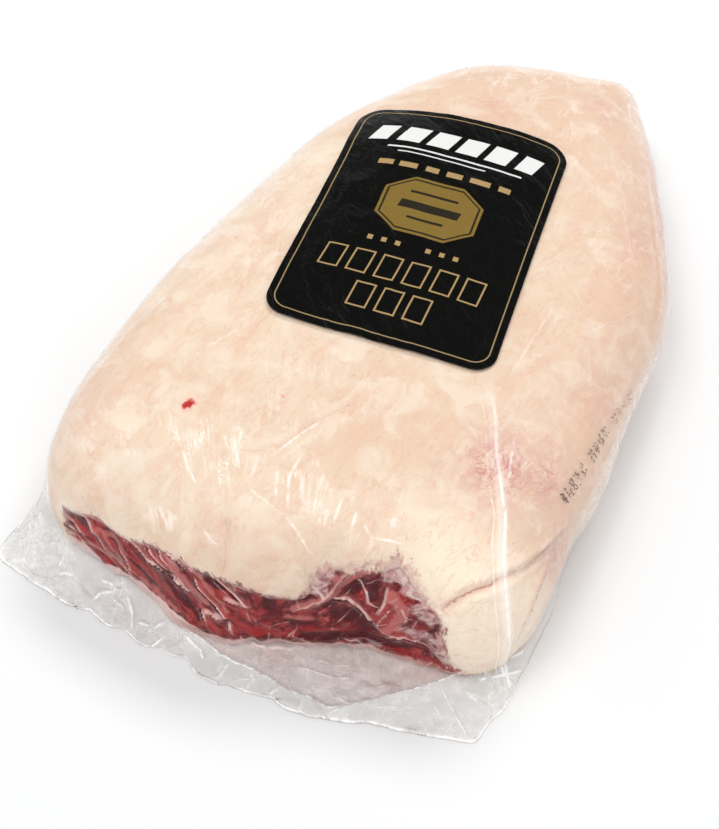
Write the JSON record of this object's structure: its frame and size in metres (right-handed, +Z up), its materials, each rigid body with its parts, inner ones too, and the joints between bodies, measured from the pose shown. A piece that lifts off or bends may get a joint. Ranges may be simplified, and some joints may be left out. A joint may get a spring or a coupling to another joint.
{
  "type": "picanha in a vacuum bag",
  "caption": "Raw beef cap cut with a thick fat layer over red lean, sealed in clear film with a dark label, lying fat side up.",
  "frame": {"origin": "middle of the bounding box in plan, on the surface that the pack rests on", "axes": "+Z up, +Y from the wide cut end towards the narrow end, +X to the right seen from the cut end"},
  "size_m": [0.185, 0.262, 0.051],
  "materials": {
    "fat": "moist cream fat with soft pink and orange mottling",
    "lean": "wet dark red lean with pale membranes",
    "film": "clear glossy vacuum film, crumpled where it is free",
    "label": "black semi-gloss film label with gold and white fields"
  },
  "bodies": {
    "root": {"fat_cap": "fat", "lean_meat": "lean", "bag": "film", "label": "label"}
  },
  "joints": []
}
